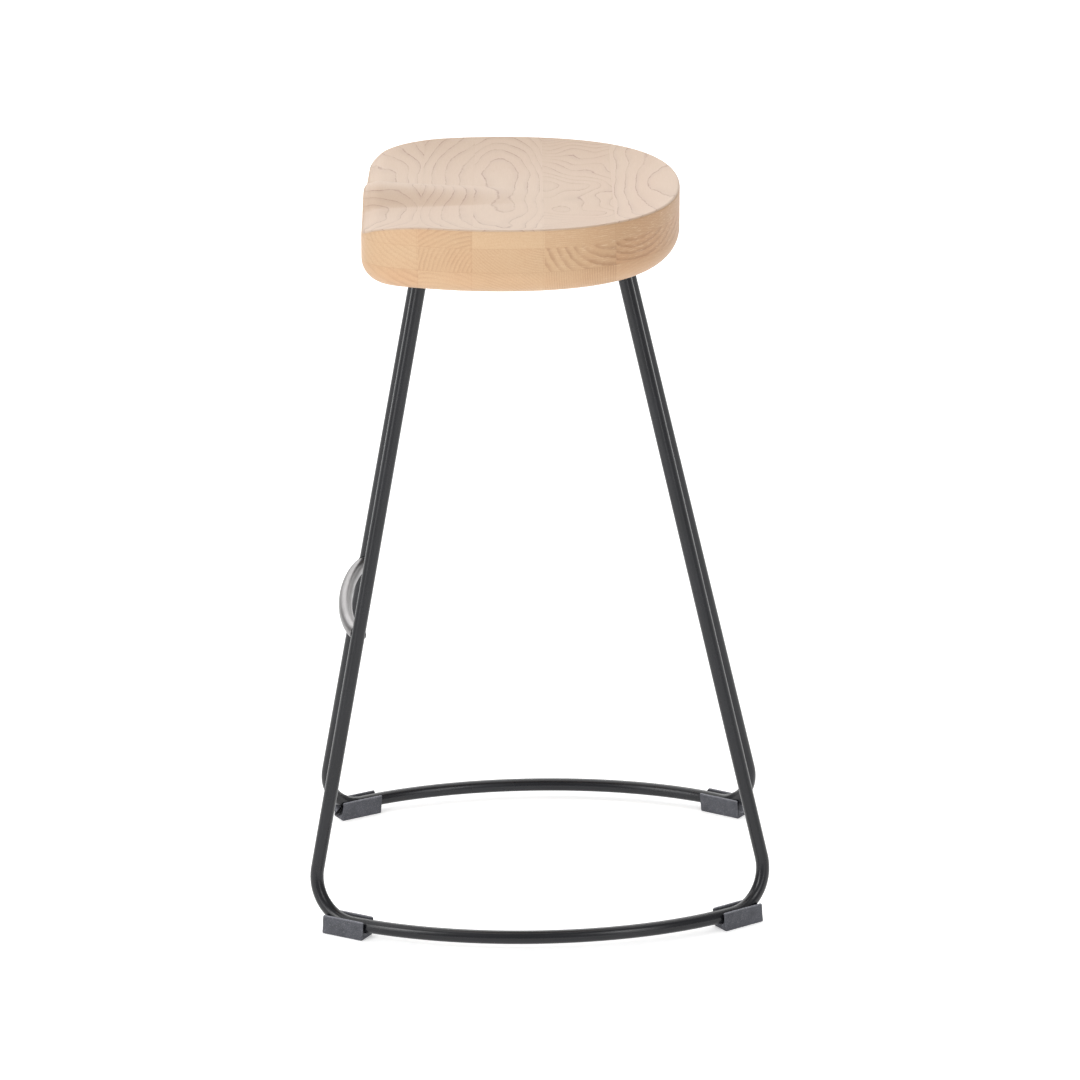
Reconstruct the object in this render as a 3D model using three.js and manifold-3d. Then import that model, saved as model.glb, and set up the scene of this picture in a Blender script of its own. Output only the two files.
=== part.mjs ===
// Bar stool: a carved wooden tractor seat on two bent-rod side frames, with a bright footrest.
// Millimetres, +Z up. The front of the stool faces -Y, and the feet stand on z = 0. Right is +X, as
// seen by someone who faces the front.

import * as THREE from 'three';
import { mergeVertices } from 'three/addons/utils/BufferGeometryUtils.js';
import Module from 'manifold-3d';

const wasm = await Module();
wasm.setup();

// ---------------------------------------------------------------- driving dimensions

const GAP = 0.3; // left between pieces that touch

// Side frames: the right one is drawn, and the left one mirrors it.
const ROD_RADIUS = 7;
const ROD_SIDES = 18;
const RAIL_HEIGHT = 13.3; // rail axis above the floor
const FRONT_CORNER = new THREE.Vector3(148.8, -239.2, RAIL_HEIGHT); // leg axis meets rail axis
const REAR_CORNER = new THREE.Vector3(136.2, 239.2, RAIL_HEIGHT);
const FRONT_LEG = new THREE.Vector3(-0.0898, 0.1945, 1); // direction, up the leg
const REAR_LEG = new THREE.Vector3(-0.0898, -0.223, 1);
const FRONT_SPLAY = THREE.MathUtils.degToRad(29.5); // how far the rail's ends turn outwards
const REAR_SPLAY = THREE.MathUtils.degToRad(33.5);
const RAIL_HANDLE = 129; // how far the rail follows its end directions before it bows round
const BEND_RADIUS = 45;
const LEG_HEIGHT = 700; // the legs are drawn this high, then trimmed under the seat plate

// Footrest
const FOOTREST_HEIGHT = 307.5;
const FOOTREST_BOW = 17; // how far its middle stands in front of the legs' axes
const FOOTREST_SHOULDER = 0.58; // where the bow's control points stand, as a share of half its span

// Feet
const FOOT_LENGTH = 48.5;
const FOOT_WIDTH = 21;
const FOOT_HEIGHT = 20.5;
const FOOT_GROOVE_RADIUS = 7.8;
const FOOT_EDGE_RADIUS = 2.5;
const FOOT_CHAMFER = 1;
const FOOT_LEAN = 2; // a foot's top stands this much nearer to the middle of the rail than its sole
const FOOT_REACH = { front: 45, rear: 43 }; // from the rail's corner to the foot's middle

// Seat, drawn in its own frame: underside at z = 0, then tilted back and lifted into place.
const SEAT_LIFT = 683.2;
const SEAT_TILT = THREE.MathUtils.degToRad(-0.8);
const SEAT_HALF_WIDTH = 212.5;
const SEAT_WIDEST_Y = -27;
const SEAT_FRONT_Y = -170;
const SEAT_REAR_Y = 151;
const SEAT_LOWER_RADIUS = 23;
const SEAT_RIM_RADIUS = 2.5;
const FRONT_ROUNDING = 5; // added to the rim radius at the front edge
const SEAT_SECTIONS = 96; // points round the outline
const SEAT_MIDDLE_Y = -10; // the rings of the carved top close in on this point
const TOP_RINGS = 14;
const TOP_RING_POWER = 0.85; // under 1 brings the outer rings closer together

// Carving of the seat's top: a dish, two thigh scoops and the pommel between them
const DISH_FLOOR = 51.5; // height above the underside
const DISH_RISE = 15.1; // from the floor up to the rim
const DISH_POWER = 3.2; // how late the dish turns up towards the rim
const OVAL_POWER = 2.3; // 2 is an ellipse, and more is fuller in the corners
const SIDE_TAPER = 0.002; // how fast the sides close in ahead of the widest line
const CORNER_DROP = 0.0022; // the side rims fall away ahead of CORNER_DROP_Y
const CORNER_DROP_Y = -95;
const EDGE_DROP = 0.021; // the front edge rolls over ahead of EDGE_DROP_Y
const EDGE_DROP_Y = -151;
const POMMEL_RISE = 14.5; // above the scoops, at the front edge
const POMMEL_END_Y = 5; // where it has faded out
const POMMEL_HALF_WIDTH = 36;
const POMMEL_SPREAD = 26; // added to the half width at the front edge
const POMMEL_POWER = 0.65; // under 1 gives steep flanks with a sharp foot

// Seat plate and its fasteners, in the seat's frame
const PLATE_THICKNESS = 4;
const PLATE_SIZE = [210, 236];
const PLATE_CENTRE_Y = -9;
const PLATE_CORNER_RADIUS = 18;
const SCREW_OFFSET = [60, 80]; // from the plate's centre
const SCREW_HOLE_RADIUS = 3.4;
const SHANK_RADIUS = 2.7;
const SHANK_LENGTH = 19;
const HEAD_RADIUS = 5.5;
const HEAD_HEIGHT = 3.3;
const HEX_RADIUS = 2.3;
const HEX_DEPTH = 2;
const WASHER_RADIUS = 7;
const WASHER_THICKNESS = 1.5;
const INSERT_RADIUS = 4.6;
const INSERT_LENGTH = 13;
const INSERT_HOLE_DEPTH = 17;
const SMALL_SIDES = 20;

// ---------------------------------------------------------------- materials

const wood = new THREE.MeshStandardMaterial({ color: 0xddb98f, roughness: 0.5, metalness: 0 });
const blackPaint = new THREE.MeshStandardMaterial({ color: 0x2b2c2e, roughness: 0.45, metalness: 0.2 });
const chrome = new THREE.MeshStandardMaterial({ color: 0xd4d4d6, roughness: 0.12, metalness: 1 });
const rubber = new THREE.MeshStandardMaterial({ color: 0x3a3b3d, roughness: 0.75, metalness: 0 });
const zincSteel = new THREE.MeshStandardMaterial({ color: 0xa9abad, roughness: 0.35, metalness: 1 });
const brass = new THREE.MeshStandardMaterial({ color: 0xb3924f, roughness: 0.35, metalness: 1 });

// ---------------------------------------------------------------- solids

function toSolid(geometry) {
  const bare = geometry.clone();
  bare.deleteAttribute('normal');
  bare.deleteAttribute('uv');
  const merged = mergeVertices(bare, 1e-4);
  return new wasm.Manifold(new wasm.Mesh({
    numProp: 3,
    vertProperties: new Float32Array(merged.attributes.position.array),
    triVerts: new Uint32Array(merged.index.array),
  }));
}

function toGeometry(solid) {
  const mesh = solid.getMesh();
  const geometry = new THREE.BufferGeometry();
  geometry.setAttribute('position', new THREE.BufferAttribute(mesh.vertProperties, 3));
  geometry.setIndex(new THREE.BufferAttribute(mesh.triVerts, 1));
  geometry.computeVertexNormals();
  return geometry;
}

function cutAway(geometry, tools) {
  return toGeometry(tools.reduce((solid, tool) => solid.subtract(toSolid(tool)), toSolid(geometry)));
}

function named(name, geometry, material) {
  const mesh = new THREE.Mesh(geometry, material);
  mesh.name = name;
  return mesh;
}

// ---------------------------------------------------------------- rods

// A centreline made of curves joined end to end, each walked in its own number of even steps.
class RodPath extends THREE.Curve {
  constructor(pieces) {
    super();
    this.pieces = pieces;
    this.steps = pieces.reduce((sum, piece) => sum + piece.steps, 0);
  }

  // The curve that holds parameter t, and the parameter along that curve.
  locate(t) {
    let step = t * this.steps;
    for (const { curve, steps } of this.pieces) {
      if (step <= steps) return [curve, step / steps];
      step -= steps;
    }
    return [this.pieces.at(-1).curve, 1];
  }

  getPoint(t, target = new THREE.Vector3()) {
    const [curve, s] = this.locate(t);
    return curve.getPoint(s, target);
  }

  getTangent(t, target = new THREE.Vector3()) {
    const [curve, s] = this.locate(t);
    return curve.getTangent(s, target);
  }

  // Stations follow the parameter and not the length, so bends get more of them than straights.
  getUtoTmapping(u) {
    return u;
  }
}

// A circular bend that rounds the corner between two directions of travel.
function bend(corner, into, away) {
  const turn = into.angleTo(away);
  const reach = BEND_RADIUS * Math.tan(turn / 2);
  const handle = BEND_RADIUS * Math.tan(turn / 4) * (4 / 3);
  const start = corner.clone().addScaledVector(into, -reach);
  const end = corner.clone().addScaledVector(away, reach);
  return new THREE.CubicBezierCurve3(
    start,
    start.clone().addScaledVector(into, handle),
    end.clone().addScaledVector(away, -handle),
    end,
  );
}

function rodAlong(path, steps, radius = ROD_RADIUS) {
  const section = new THREE.Shape();
  section.absarc(0, 0, radius, 0, Math.PI * 2, false);
  return new THREE.ExtrudeGeometry(section, { steps, extrudePath: path, curveSegments: ROD_SIDES / 2 });
}

function onLeg(corner, direction, height) {
  return corner.clone().addScaledVector(direction, height - RAIL_HEIGHT);
}

// The way the rail runs from one of its corners towards its middle.
function railDirection(place) {
  const front = place === 'front';
  const splay = front ? FRONT_SPLAY : REAR_SPLAY;
  return new THREE.Vector3(Math.sin(splay), front ? Math.cos(splay) : -Math.cos(splay), 0);
}

// Centreline of the right side frame: down the front leg, back along the rail, up the rear leg.
function sideFramePath() {
  const frontDirection = railDirection('front');
  const rearDirection = railDirection('rear');
  const down = FRONT_LEG.clone().negate().normalize();
  const up = REAR_LEG.clone().normalize();
  const frontBend = bend(FRONT_CORNER, down, frontDirection);
  const rearBend = bend(REAR_CORNER, rearDirection.clone().negate(), up);
  const rail = new THREE.CubicBezierCurve3(
    frontBend.v3,
    frontBend.v3.clone().addScaledVector(frontDirection, RAIL_HANDLE),
    rearBend.v0.clone().addScaledVector(rearDirection, RAIL_HANDLE),
    rearBend.v0,
  );
  const frontTop = onLeg(FRONT_CORNER, FRONT_LEG, LEG_HEIGHT);
  const rearTop = onLeg(REAR_CORNER, REAR_LEG, LEG_HEIGHT);
  return new RodPath([
    { curve: new THREE.LineCurve3(frontTop, frontBend.v0), steps: 2 },
    { curve: frontBend, steps: 9 },
    { curve: rail, steps: 18 },
    { curve: rearBend, steps: 9 },
    { curve: new THREE.LineCurve3(rearBend.v3, rearTop), steps: 2 },
  ]);
}

function sideFrame(path) {
  return cutAway(rodAlong(path, path.steps), [abovePlate()]);
}

// The footrest runs from leg axis to leg axis, and is cut back at its ends to fit round the legs.
function footrest() {
  const end = onLeg(FRONT_CORNER, FRONT_LEG, FOOTREST_HEIGHT);
  const shoulder = end.x * FOOTREST_SHOULDER;
  const forward = end.y - FOOTREST_BOW * (4 / 3);
  const bow = new THREE.CubicBezierCurve3(
    end,
    new THREE.Vector3(shoulder, forward, FOOTREST_HEIGHT),
    new THREE.Vector3(-shoulder, forward, FOOTREST_HEIGHT),
    new THREE.Vector3(-end.x, end.y, FOOTREST_HEIGHT),
  );
  const low = onLeg(FRONT_CORNER, FRONT_LEG, FOOTREST_HEIGHT - 40);
  const high = onLeg(FRONT_CORNER, FRONT_LEG, FOOTREST_HEIGHT + 40);
  const legs = [1, -1].map((side) => {
    const ends = [low, high].map(({ x, y, z }) => new THREE.Vector3(side * x, y, z));
    return rodAlong(new THREE.LineCurve3(...ends), 1, ROD_RADIUS + GAP);
  });
  return cutAway(rodAlong(bow, 28), legs);
}

// ---------------------------------------------------------------- feet

// U section of a foot: x across the rail and y up, with the groove open at the top.
function footSection() {
  const half = FOOT_WIDTH / 2;
  const wall = half - FOOT_GROOVE_RADIUS;
  const shoulder = FOOT_HEIGHT - FOOT_EDGE_RADIUS;
  const section = new THREE.Shape();
  section.moveTo(FOOT_CHAMFER - half, 0);
  section.lineTo(half - FOOT_CHAMFER, 0);
  section.lineTo(half, FOOT_CHAMFER);
  section.absellipse(half - wall / 2, shoulder, wall / 2, FOOT_EDGE_RADIUS, 0, Math.PI);
  section.absarc(0, RAIL_HEIGHT, FOOT_GROOVE_RADIUS, 0, Math.PI, true);
  section.absellipse(wall / 2 - half, shoulder, wall / 2, FOOT_EDGE_RADIUS, 0, Math.PI);
  section.lineTo(-half, FOOT_CHAMFER);
  section.closePath();
  return section;
}

// A foot under the rail, with its groove opened out round the rod that leaves it in the bend.
function foot(path, place) {
  const corner = place === 'front' ? FRONT_CORNER : REAR_CORNER;
  const middle = place === 'front' ? 1 : -1;
  const away = railDirection(place);
  const centre = corner.clone().addScaledVector(away, FOOT_REACH[place]);
  const along = away.clone().multiplyScalar(middle);
  const up = new THREE.Vector3(0, 0, 1);
  const across = up.clone().cross(along);
  const block = new THREE.ExtrudeGeometry(footSection(), {
    depth: FOOT_LENGTH, bevelEnabled: false, curveSegments: 6,
  });
  block.translate(0, 0, -FOOT_LENGTH / 2);
  block.applyMatrix4(new THREE.Matrix4().makeShear(0, 0, 0, (middle * FOOT_LEAN) / FOOT_HEIGHT, 0, 0));
  block.applyMatrix4(new THREE.Matrix4().makeBasis(across, up, along));
  block.translate(centre.x, centre.y, 0);
  return cutAway(block, [rodAlong(path, path.steps, ROD_RADIUS + GAP)]);
}

// ---------------------------------------------------------------- seat

// The outline, clockwise from the middle of the rear edge, and the way inwards at each point.
function seatOutline() {
  const w = SEAT_HALF_WIDTH;
  const half = new THREE.Path();
  half.moveTo(0, SEAT_REAR_Y);
  half.bezierCurveTo(w * 0.71, SEAT_REAR_Y, w, SEAT_WIDEST_Y + 101, w, SEAT_WIDEST_Y);
  half.bezierCurveTo(w, SEAT_WIDEST_Y - 45, w - 9, -98, w - 21, -132);
  half.bezierCurveTo(w - 30, -155, 168, SEAT_FRONT_Y + 4, 146, SEAT_FRONT_Y + 2);
  half.quadraticCurveTo(60, SEAT_FRONT_Y, 0, SEAT_FRONT_Y);
  const right = half.getSpacedPoints(SEAT_SECTIONS / 2);
  const left = right.slice(1, -1).reverse().map((point) => new THREE.Vector2(-point.x, point.y));
  const points = [...right, ...left];
  return points.map((point, i) => {
    const along = points[(i + 1) % points.length].clone().sub(points.at(i - 1)).normalize();
    return { point, inward: new THREE.Vector2(along.y, -along.x) };
  });
}

// Height of the carved top above the underside.
function seatTop(x, y) {
  const ahead = Math.max(0, SEAT_WIDEST_Y - y);
  const behind = Math.max(0, y - SEAT_WIDEST_Y) / (SEAT_REAR_Y - SEAT_WIDEST_Y);
  const across = Math.abs(x) / (SEAT_HALF_WIDTH - SIDE_TAPER * ahead ** 2);
  const bowl = (across ** OVAL_POWER + behind ** OVAL_POWER) ** (DISH_POWER / OVAL_POWER);
  const cornerDrop = CORNER_DROP * Math.max(0, CORNER_DROP_Y - y) ** 2;
  const edgeDrop = EDGE_DROP * Math.max(0, EDGE_DROP_Y - y) ** 2;
  const fade = Math.max(0, (POMMEL_END_Y - y) / (POMMEL_END_Y - SEAT_FRONT_Y));
  const flank = Math.min(1, Math.abs(x) / (POMMEL_HALF_WIDTH + POMMEL_SPREAD * fade));
  const pommel = POMMEL_RISE * fade * (0.5 + 0.5 * Math.cos(Math.PI * flank)) ** POMMEL_POWER;
  return DISH_FLOOR + (DISH_RISE - cornerDrop) * bowl + pommel - edgeDrop;
}

// Rings of points from the middle of the top, over the rim, down the wall and under to the middle.
function seatRings() {
  const outline = seatOutline();
  const rimRadius = outline.map(({ point }) => (
    SEAT_RIM_RADIUS + FRONT_ROUNDING * THREE.MathUtils.smoothstep(-point.y, -EDGE_DROP_Y, -SEAT_FRONT_Y)
  ));
  const inset = (share, radius) => outline.map(({ point, inward }, i) => (
    point.clone().addScaledVector(inward, share * (radius ?? rimRadius[i]))
  ));
  const middle = new THREE.Vector2(0, SEAT_MIDDLE_Y);
  const rim = inset(1);
  const rimTop = rim.map((point) => seatTop(point.x, point.y));
  const rings = [];
  for (let k = 1; k <= TOP_RINGS; k += 1) {
    const share = (k / TOP_RINGS) ** TOP_RING_POWER;
    rings.push(rim.map((point) => {
      const { x, y } = middle.clone().lerp(point, share);
      return [x, y, seatTop(x, y)];
    }));
  }
  for (const angle of [30, 60, 90].map(THREE.MathUtils.degToRad)) {
    const edge = inset(1 - Math.sin(angle));
    const drop = 1 - Math.cos(angle);
    rings.push(edge.map(({ x, y }, i) => [x, y, rimTop[i] - drop * rimRadius[i]]));
  }
  for (const angle of [0, 15, 30, 45, 60, 75, 90].map(THREE.MathUtils.degToRad)) {
    const edge = inset(1 - Math.cos(angle), SEAT_LOWER_RADIUS);
    const height = SEAT_LOWER_RADIUS * (1 - Math.sin(angle));
    rings.push(edge.map(({ x, y }) => [x, y, height]));
  }
  return rings;
}

// Skins the rings and closes them with a point in the middle of the top and of the underside.
function seatBlock() {
  const rings = seatRings();
  const count = rings[0].length;
  const top = [0, SEAT_MIDDLE_Y, seatTop(0, SEAT_MIDDLE_Y)];
  const bottom = [0, SEAT_MIDDLE_Y, 0];
  const positions = [top, ...rings.flat(), bottom].flat();
  const last = rings.flat().length + 1;
  const at = (ring, i) => 1 + ring * count + (i % count);
  const index = [];
  for (let i = 0; i < count; i += 1) {
    index.push(0, at(0, i + 1), at(0, i));
    for (let ring = 0; ring < rings.length - 1; ring += 1) {
      index.push(at(ring, i), at(ring, i + 1), at(ring + 1, i));
      index.push(at(ring, i + 1), at(ring + 1, i + 1), at(ring + 1, i));
    }
    index.push(at(rings.length - 1, i), at(rings.length - 1, i + 1), last);
  }
  const geometry = new THREE.BufferGeometry();
  geometry.setAttribute('position', new THREE.Float32BufferAttribute(positions, 3));
  geometry.setIndex(index);
  return geometry;
}

function seat() {
  const holes = screwPlaces().map(({ x, y }) => {
    const hole = cylinder(INSERT_RADIUS + GAP, 2 * INSERT_HOLE_DEPTH, SMALL_SIDES);
    return hole.translate(x, y, 0);
  });
  return cutAway(seatBlock(), holes);
}

// ---------------------------------------------------------------- seat plate and fasteners

function cylinder(radius, height, sides) {
  return new THREE.CylinderGeometry(radius, radius, height, sides).rotateX(Math.PI / 2);
}

// A turned piece from its profile of [radius, height] points.
function turned(profile) {
  const points = profile.map(([radius, height]) => new THREE.Vector2(radius, height));
  return new THREE.LatheGeometry(points, SMALL_SIDES).rotateX(Math.PI / 2);
}

function ring(inner, outer, height) {
  return turned([[inner, 0], [outer, 0], [outer, height], [inner, height], [inner, 0]]);
}

function screwPlaces() {
  return ['front', 'rear'].flatMap((end) => ['right', 'left'].map((side) => ({
    name: `${end}_${side}`,
    x: side === 'right' ? SCREW_OFFSET[0] : -SCREW_OFFSET[0],
    y: PLATE_CENTRE_Y + (end === 'rear' ? SCREW_OFFSET[1] : -SCREW_OFFSET[1]),
  })));
}

function seatPlate() {
  const [halfX, halfY] = PLATE_SIZE.map((size) => size / 2 - PLATE_CORNER_RADIUS);
  const shape = new THREE.Shape();
  shape.absarc(halfX, PLATE_CENTRE_Y + halfY, PLATE_CORNER_RADIUS, 0, Math.PI / 2);
  shape.absarc(-halfX, PLATE_CENTRE_Y + halfY, PLATE_CORNER_RADIUS, Math.PI / 2, Math.PI);
  shape.absarc(-halfX, PLATE_CENTRE_Y - halfY, PLATE_CORNER_RADIUS, Math.PI, Math.PI * 1.5);
  shape.absarc(halfX, PLATE_CENTRE_Y - halfY, PLATE_CORNER_RADIUS, Math.PI * 1.5, Math.PI * 2);
  for (const { x, y } of screwPlaces()) {
    shape.holes.push(new THREE.Path().absarc(x, y, SCREW_HOLE_RADIUS, 0, Math.PI * 2));
  }
  return new THREE.ExtrudeGeometry(shape, {
    depth: PLATE_THICKNESS, bevelEnabled: false, curveSegments: 8,
  });
}

// A button-head screw that points up, with its head below z = 0 and a hexagonal socket in it.
function screw() {
  const body = turned([
    [0, -HEAD_HEIGHT],
    [HEAD_RADIUS * 0.7, -HEAD_HEIGHT],
    [HEAD_RADIUS * 0.93, -HEAD_HEIGHT * 0.6],
    [HEAD_RADIUS, 0],
    [SHANK_RADIUS, 0],
    [SHANK_RADIUS, SHANK_LENGTH - 1],
    [SHANK_RADIUS - 0.8, SHANK_LENGTH],
    [0, SHANK_LENGTH],
  ]);
  const socket = cylinder(HEX_RADIUS, 2 * HEX_DEPTH, 6).translate(0, 0, -HEAD_HEIGHT);
  return cutAway(body, [socket]);
}

// ---------------------------------------------------------------- assembly

const PLATE_BASE = -GAP - PLATE_THICKNESS; // underside of the plate, in the seat's frame
const WASHER_BASE = PLATE_BASE - GAP - WASHER_THICKNESS;

const seatFrame = new THREE.Group();
seatFrame.position.z = SEAT_LIFT;
seatFrame.rotation.x = SEAT_TILT;
seatFrame.updateMatrix();

// Everything from just under the seat plate upwards, for trimming the legs.
function abovePlate() {
  const depth = 120;
  const slab = new THREE.BoxGeometry(400, 400, depth).translate(0, 0, PLATE_BASE - GAP + depth / 2);
  return slab.applyMatrix4(seatFrame.matrix);
}

const stool = new THREE.Group();
const leftSide = new THREE.Group();
leftSide.scale.x = -1;
stool.add(leftSide, seatFrame);

function addPair(name, geometry, material) {
  stool.add(named(`${name}_right`, geometry, material));
  leftSide.add(named(`${name}_left`, geometry, material));
}

const path = sideFramePath();
addPair('side_frame', sideFrame(path), blackPaint);
addPair('foot_front', foot(path, 'front'), rubber);
addPair('foot_rear', foot(path, 'rear'), rubber);
stool.add(named('footrest', footrest(), chrome));

seatFrame.add(named('seat', seat(), wood));
seatFrame.add(named('seat_plate', seatPlate().translate(0, 0, PLATE_BASE), blackPaint));
for (const { name, x, y } of screwPlaces()) {
  const washer = ring(SCREW_HOLE_RADIUS, WASHER_RADIUS, WASHER_THICKNESS);
  const insert = ring(SHANK_RADIUS + GAP, INSERT_RADIUS, INSERT_LENGTH);
  seatFrame.add(named(`screw_${name}`, screw().translate(x, y, WASHER_BASE - GAP), zincSteel));
  seatFrame.add(named(`washer_${name}`, washer.translate(x, y, WASHER_BASE), zincSteel));
  seatFrame.add(named(`insert_${name}`, insert.translate(x, y, 2 * GAP), brass));
}

// The origin is on the floor, in the middle of the stool's outer box.
const box = new THREE.Box3().setFromObject(stool, true);
stool.position.y = -(box.min.y + box.max.y) / 2;

export default stool;
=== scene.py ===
import math

import bpy
import numpy as np
from mathutils import Matrix, Vector

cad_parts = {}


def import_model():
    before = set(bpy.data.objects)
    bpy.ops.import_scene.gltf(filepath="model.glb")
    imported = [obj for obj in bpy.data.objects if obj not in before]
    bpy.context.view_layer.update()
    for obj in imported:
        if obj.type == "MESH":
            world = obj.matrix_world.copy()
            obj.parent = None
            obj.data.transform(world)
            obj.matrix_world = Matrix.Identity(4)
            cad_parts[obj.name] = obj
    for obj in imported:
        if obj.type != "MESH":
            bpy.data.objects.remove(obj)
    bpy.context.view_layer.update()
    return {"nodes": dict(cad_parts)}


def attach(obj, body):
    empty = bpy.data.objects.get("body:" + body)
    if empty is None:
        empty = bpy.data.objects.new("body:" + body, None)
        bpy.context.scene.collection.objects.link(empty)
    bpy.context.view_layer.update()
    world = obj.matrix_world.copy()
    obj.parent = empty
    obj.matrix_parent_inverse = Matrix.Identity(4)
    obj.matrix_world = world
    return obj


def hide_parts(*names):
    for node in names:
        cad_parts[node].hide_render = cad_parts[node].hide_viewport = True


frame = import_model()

# ---------------------------------------------------------------- dimensions, in millimetres
# They repeat the CAD source's, so that every piece goes where its CAD node is.

GAP = 0.3
CENTRING = np.array([0.0, 0.5885, 0.0])  # the CAD centres its outer box on the origin

ROD_RADIUS = 7.0
RAIL_HEIGHT = 13.3
FRONT_CORNER = np.array([148.8, -239.2, RAIL_HEIGHT])
REAR_CORNER = np.array([136.2, 239.2, RAIL_HEIGHT])
FRONT_LEG = np.array([-0.0898, 0.1945, 1.0])
REAR_LEG = np.array([-0.0898, -0.223, 1.0])
FRONT_SPLAY = math.radians(29.5)
REAR_SPLAY = math.radians(33.5)
RAIL_HANDLE = 129.0
BEND_RADIUS = 45.0
LEG_HEIGHT = 700.0

FOOTREST_HEIGHT = 307.5
FOOTREST_BOW = 17.0
FOOTREST_SHOULDER = 0.58
COPE_SHARES = (0.02, 0.35, 0.7, 1.0)  # rings of the coped ends, from the middle out

FOOT_LENGTH = 48.5
FOOT_WIDTH = 21.0
FOOT_HEIGHT = 20.5
FOOT_GROOVE_RADIUS = 7.8
FOOT_EDGE_RADIUS = 2.5
FOOT_CHAMFER = 1.0
FOOT_LEAN = 2.0
FOOT_REACH = {"front": 45.0, "rear": 43.0}
FOOT_END_ROUND = 1.8

SEAT_LIFT = 683.2
SEAT_TILT = math.radians(-0.8)
SEAT_HALF_WIDTH = 212.5
SEAT_WIDEST_Y = -27.0
SEAT_FRONT_Y = -170.0
SEAT_REAR_Y = 151.0
SEAT_LOWER_RADIUS = 23.0
SEAT_RIM_RADIUS = 2.5
FRONT_ROUNDING = 5.0
SEAT_MIDDLE = np.array([0.0, -10.0])

DISH_FLOOR = 51.5
DISH_RISE = 15.1
DISH_POWER = 3.2
OVAL_POWER = 2.3
SIDE_TAPER = 0.002
CORNER_DROP = 0.0022
CORNER_DROP_Y = -95.0
EDGE_DROP = 0.021
EDGE_DROP_Y = -151.0
POMMEL_RISE = 14.5
POMMEL_END_Y = 5.0
POMMEL_HALF_WIDTH = 36.0
POMMEL_SPREAD = 26.0
POMMEL_POWER = 0.65
POMMEL_FADE = 1.2
POMMEL_FOOT = 0.012  # softens the line where the pommel meets the dish

PLATE_THICKNESS = 4.0
PLATE_CENTRE_Y = -9.0
SCREW_OFFSET = (60.0, 80.0)
SCREW_HOLE_RADIUS = 3.4
SHANK_RADIUS = 2.7
SHANK_LENGTH = 19.0
HEAD_RADIUS = 5.5
HEAD_HEIGHT = 3.3
HEX_RADIUS = 2.3
HEX_DEPTH = 2.0
WASHER_RADIUS = 7.0
WASHER_THICKNESS = 1.5
INSERT_RADIUS = 4.6
INSERT_HOLE_DEPTH = 17.0
PLATE_BASE = -GAP - PLATE_THICKNESS
WASHER_BASE = PLATE_BASE - GAP - WASHER_THICKNESS

# Welds: the bead's radius, how far its middle stands out as a share of that, and its ripples as
# (share of the radius, waves round the bead, how much the seed shifts them).
LEG_WELD_RADIUS = 1.9
FOOTREST_WELD_RADIUS = 0.7
BEAD_LIFT = 0.35
BEAD_RIPPLES = ((0.09, 17, 1.0), (0.06, 7, 2.3), (0.04, 31, 0.0))

LEG_END_MARGIN = 4.0  # the leg has no ring this near the plane it is trimmed to
FOOTREST_END_MARGIN = 2.2 * ROD_RADIUS  # nor the footrest this near the leg's axis

# The domed screw head, as shares of (HEAD_RADIUS, HEAD_HEIGHT), and the edge below the dome.
HEAD_DOME = ((0.62, 1.0), (0.8, 0.88), (0.92, 0.62), (0.98, 0.3))
HEAD_EDGE = 0.3
HEAD_BASE_SHARE = 0.97
SHANK_POINT = (0.8, 1.0)  # how far the shank's end is narrowed, and over what length
WASHER_LIP = 0.25
CUTTER_START = -6.0  # the insert holes' cutters begin this far below the seat
PLATE_EDGE_BEVEL = 0.0006  # metres

# How finely the meshes are divided
ROD_SIDES = 48
LEG_STEPS, BEND_STEPS, RAIL_STEPS = 40, 26, 72
FOOTREST_STEPS = 96
BEAD_STEPS, BEAD_SIDES = 96, 14
FOOT_STEPS, FOOT_END_STEPS = 40, 4
SEAT_SECTIONS = 288
TOP_RINGS = 84
TOP_RING_POWER = 0.85  # crowds the rings towards the rim
RIM_STEPS, WALL_STEPS, LOWER_ROUND_STEPS = 7, 8, 15
UNDERSIDE_SHARES = (0.85, 0.7, 0.5, 0.25)
TURNED_SIDES, CUTTER_SIDES = 48, 32

# ---------------------------------------------------------------- mesh helpers


def unit(v):
    v = np.asarray(v, float)
    return v / np.linalg.norm(v)


def seat_frame(points):
    """From the seat's own tilted frame into the row frame, still in millimetres."""
    points = np.asarray(points, float)
    c, s = math.cos(SEAT_TILT), math.sin(SEAT_TILT)
    x, y, z = points[..., 0], points[..., 1], points[..., 2]
    return np.stack([x, y * c - z * s, y * s + z * c + SEAT_LIFT], -1)


def make(name, points, faces, material, replaces=(), mirror=False, sharp=40):
    """A piece from points in millimetres. A mirrored piece is the same thing on the left side."""
    points = (np.asarray(points, float).reshape(-1, 3) + CENTRING) * 0.001
    if mirror:
        points = points * np.array([-1.0, 1.0, 1.0])
        faces = [tuple(reversed(f)) for f in faces]
    mesh = bpy.data.meshes.new(name)
    mesh.from_pydata(points.tolist(), [], [tuple(int(i) for i in f) for f in faces])
    mesh.update()
    mesh.polygons.foreach_set("use_smooth", [True] * len(mesh.polygons))
    mesh.set_sharp_from_angle(angle=math.radians(sharp))
    mesh.materials.append(material)
    piece = bpy.data.objects.new(name, mesh)
    bpy.context.scene.collection.objects.link(piece)
    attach(piece, "root")
    if replaces:
        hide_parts(*replaces)
    return piece


def rings_to_faces(ring_count, size, closed_along=False):
    """Quads between rings of equal size. They face outwards where the rings run anticlockwise,
    seen from the last ring."""
    faces = []
    spans = ring_count if closed_along else ring_count - 1
    for r in range(spans):
        a, b = r * size, ((r + 1) % ring_count) * size
        for i in range(size):
            j = (i + 1) % size
            faces.append((a + i, a + j, b + j, b + i))
    return faces


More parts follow.
